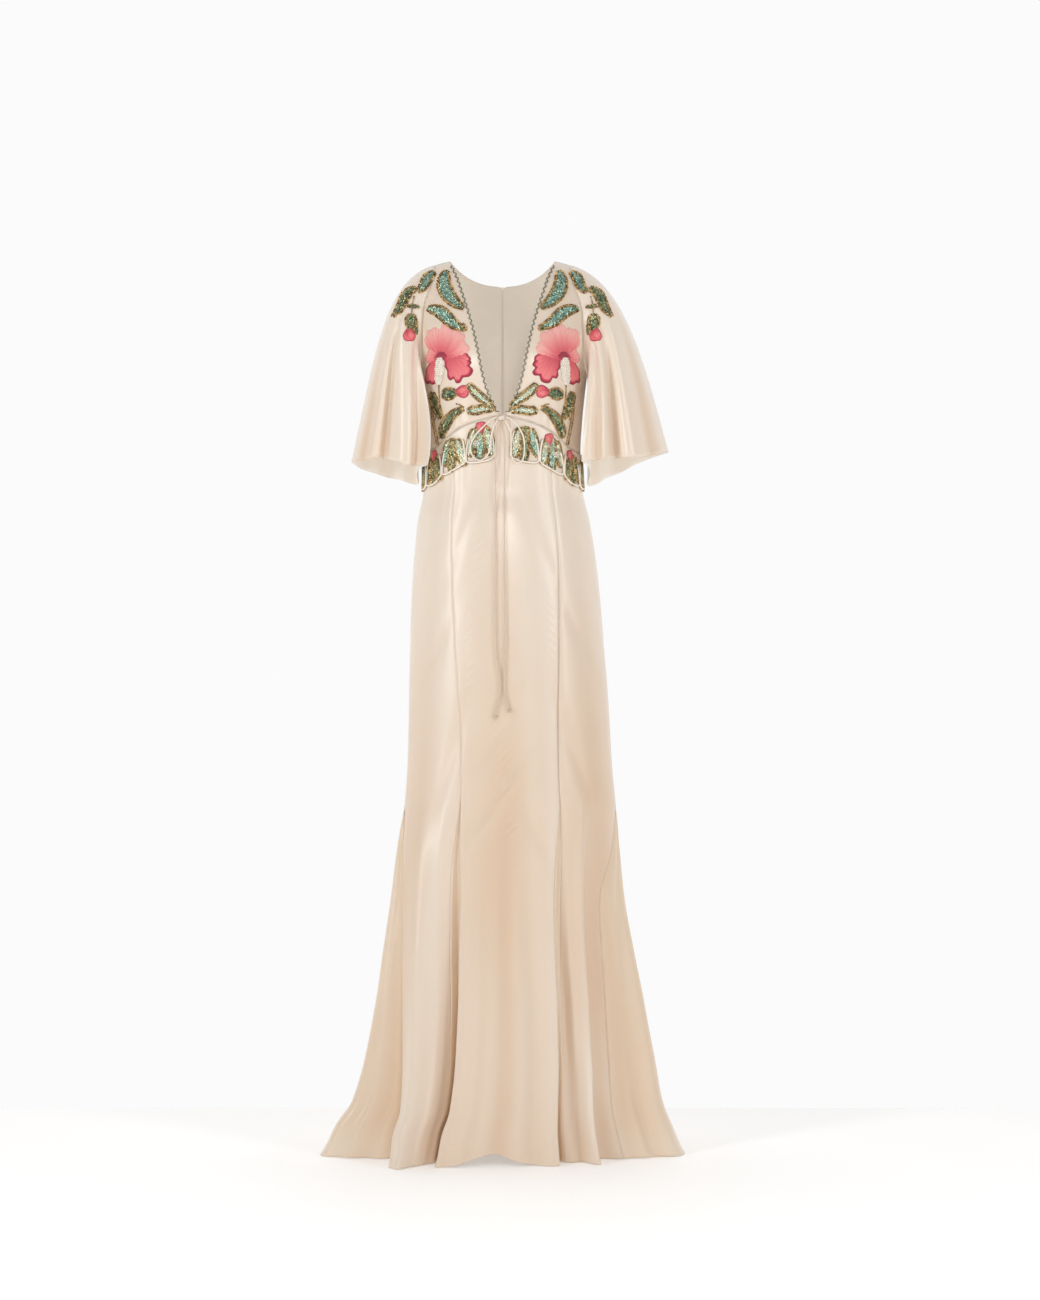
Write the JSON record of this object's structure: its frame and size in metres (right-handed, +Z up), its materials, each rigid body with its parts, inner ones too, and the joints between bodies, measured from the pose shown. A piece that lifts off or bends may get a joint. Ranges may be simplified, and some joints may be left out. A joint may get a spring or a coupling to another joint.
{
  "type": "floor-length v-neck gown",
  "caption": "Floor-length v-neck gown, worn and hollow, with flutter sleeves, a scalloped band, a bow tie and a flared gored skirt.",
  "frame": {"origin": "midway between the two shoulder seams, at the height of the neck points, where the wearer's shoulders hold the gown up", "axes": "+Z up along the wearer, +X to the gown's right-hand side as seen from the front, -Y the front"},
  "size_m": [0.6074, 0.4606, 1.5106],
  "materials": {
    "satin": "champagne silk satin",
    "godet_satin": "peach-champagne silk satin",
    "applique": "beaded and sequinned applique on satin",
    "tie_satin": "satin rouleau cord"
  },
  "bodies": {
    "root": {"bodice_front_left": "satin", "bodice_front_right": "satin", "bodice_back_left": "satin", "bodice_back_right": "satin", "sleeve_left": "satin", "sleeve_right": "satin", "skirt_centre_front": "satin", "skirt_side_front_left": "satin", "skirt_side_front_right": "satin", "skirt_side_back_left": "satin", "skirt_side_back_right": "satin", "skirt_centre_back_left": "satin", "skirt_centre_back_right": "satin", "godet_front_left": "godet_satin", "godet_front_right": "godet_satin", "godet_side_left": "godet_satin", "godet_side_right": "godet_satin", "godet_back_left": "godet_satin", "godet_back_right": "godet_satin", "band_front_left": "applique", "band_front_right": "applique", "band_back_left": "applique", "band_back_right": "applique", "tie_knot": "tie_satin", "tie_loop_left": "tie_satin", "tie_loop_right": "tie_satin", "tie_tail_left": "tie_satin", "tie_tail_right": "tie_satin", "tie_end_left": "tie_satin", "tie_end_right": "tie_satin"}
  },
  "joints": []
}
